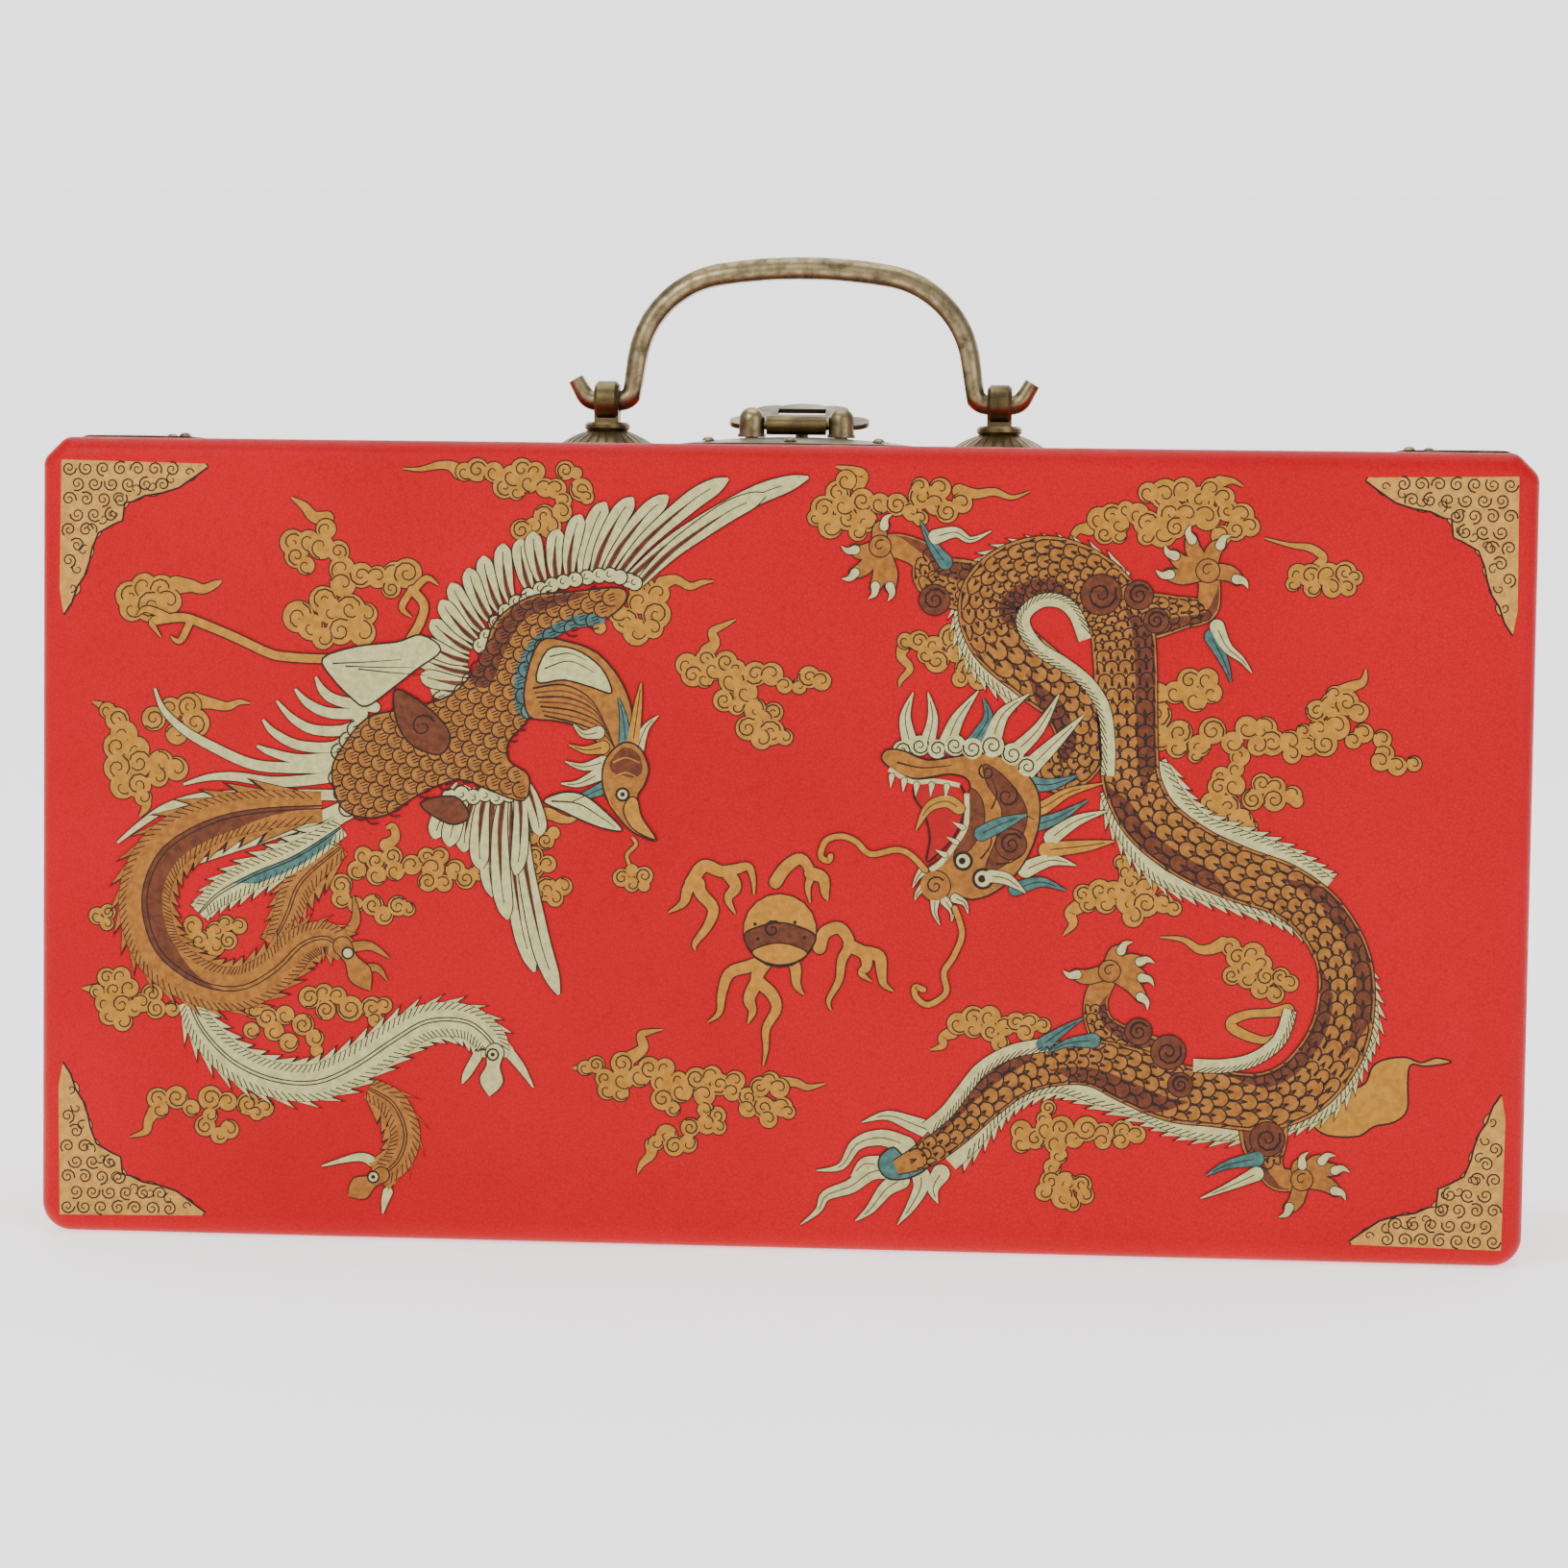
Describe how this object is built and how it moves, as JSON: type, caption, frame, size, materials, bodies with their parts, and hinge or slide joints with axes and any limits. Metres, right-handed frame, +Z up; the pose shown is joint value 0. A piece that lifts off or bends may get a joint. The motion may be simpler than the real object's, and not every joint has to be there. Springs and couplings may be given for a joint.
{
  "type": "mahjong case with drawers",
  "caption": "Red leatherette game case on its hinge side, with hinged lid, hasp and turn knob, bail handle, and tile drawers sliding out of both ends.",
  "frame": {"origin": "on the floor, under the middle of the standing case", "axes": "+X along the case, +Z up to the handle, -Y the printed lid face, +Y the base"},
  "size_m": [0.312, 0.096, 0.2034],
  "materials": {
    "red leatherette": "fine leather grain, semi-gloss; the lid face carries a printed picture",
    "board": "plain board under the cover",
    "drawer wood": "planed, unvarnished",
    "lining": "short pile",
    "aged brass": "antiqued, dark in the hollows",
    "bright worn brass": "antiqued, rubbed bright on the edges",
    "steel": "zinc plated"
  },
  "bodies": {
    "base": {"base_back_board": "board", "base_back_leather": "red leatherette", "base_end_rails": "board", "base_front_board": "board", "base_leather": "red leatherette", "base_nails": "bright worn brass", "base_panel": "board", "clasp_base_plate": "aged brass", "deck": "board", "deck_lining": "lining", "drawer_divider": "board", "drawer_stops": "board", "handle_eye_left": "aged brass", "handle_eye_right": "aged brass", "handle_nuts": "steel", "handle_washers": "steel", "hinge_base_leaves": "aged brass", "hinge_base_screws": "bright worn brass", "hinge_pins": "steel", "rosette_left": "aged brass", "rosette_right": "aged brass", "tray_divider": "drawer wood", "tray_floor": "drawer wood", "tray_walls": "drawer wood"},
    "lid": {"clasp_lid_plate": "aged brass", "clasp_pin": "aged brass", "clasp_posts": "bright worn brass", "hinge_lid_leaves": "aged brass", "hinge_lid_screws": "bright worn brass", "lid_back_board": "board", "lid_back_leather": "red leatherette", "lid_bracket_left": "aged brass", "lid_bracket_right": "aged brass", "lid_front_board": "board", "lid_leather": "red leatherette", "lid_left_board": "board", "lid_lining": "lining", "lid_nails": "bright worn brass", "lid_panel": "board", "lid_right_board": "board"},
    "hasp": {"hasp": "aged brass"},
    "turn_knob": {"turn_knob": "bright worn brass"},
    "bail": {"bail": "bright worn brass"},
    "back_left_drawer": {"back_left_drawer_box": "drawer wood", "back_left_drawer_face": "red leatherette", "back_left_drawer_floor": "drawer wood", "back_left_drawer_knob": "bright worn brass"},
    "back_right_drawer": {"back_right_drawer_box": "drawer wood", "back_right_drawer_face": "red leatherette", "back_right_drawer_floor": "drawer wood", "back_right_drawer_knob": "bright worn brass"},
    "front_left_drawer": {"front_left_drawer_box": "drawer wood", "front_left_drawer_face": "red leatherette", "front_left_drawer_floor": "drawer wood", "front_left_drawer_knob": "bright worn brass"},
    "front_right_drawer": {"front_right_drawer_box": "drawer wood", "front_right_drawer_face": "red leatherette", "front_right_drawer_floor": "drawer wood", "front_right_drawer_knob": "bright worn brass"}
  },
  "joints": [
    {"name": "lid_hinge", "type": "hinge", "parent": "base", "child": "lid", "pos_m": [0, 0, 0.0014], "axis": [1, 0, 0], "range_deg": [0, 105]},
    {"name": "hasp_hinge", "type": "hinge", "parent": "lid", "child": "hasp", "pos_m": [0, -0.005, 0.167], "axis": [1, 0, 0], "range_deg": [-15, 100]},
    {"name": "turn_knob_spin", "type": "hinge", "parent": "base", "child": "turn_knob", "pos_m": [0, 0.0115, 0.162], "axis": [0, 0, 1], "range_deg": [0, 90]},
    {"name": "bail_swing", "type": "hinge", "parent": "base", "child": "bail", "pos_m": [0, 0.014, 0.1723], "axis": [-1, 0, 0], "range_deg": [-90, 90]},
    {"name": "back_left_drawer_slide", "type": "slide", "parent": "base", "child": "back_left_drawer", "axis": [-1, 0, 0], "range_m": [0, 0.11]},
    {"name": "back_right_drawer_slide", "type": "slide", "parent": "base", "child": "back_right_drawer", "axis": [1, 0, 0], "range_m": [0, 0.11]},
    {"name": "front_left_drawer_slide", "type": "slide", "parent": "base", "child": "front_left_drawer", "axis": [-1, 0, 0], "range_m": [0, 0.11]},
    {"name": "front_right_drawer_slide", "type": "slide", "parent": "base", "child": "front_right_drawer", "axis": [1, 0, 0], "range_m": [0, 0.11]}
  ]
}
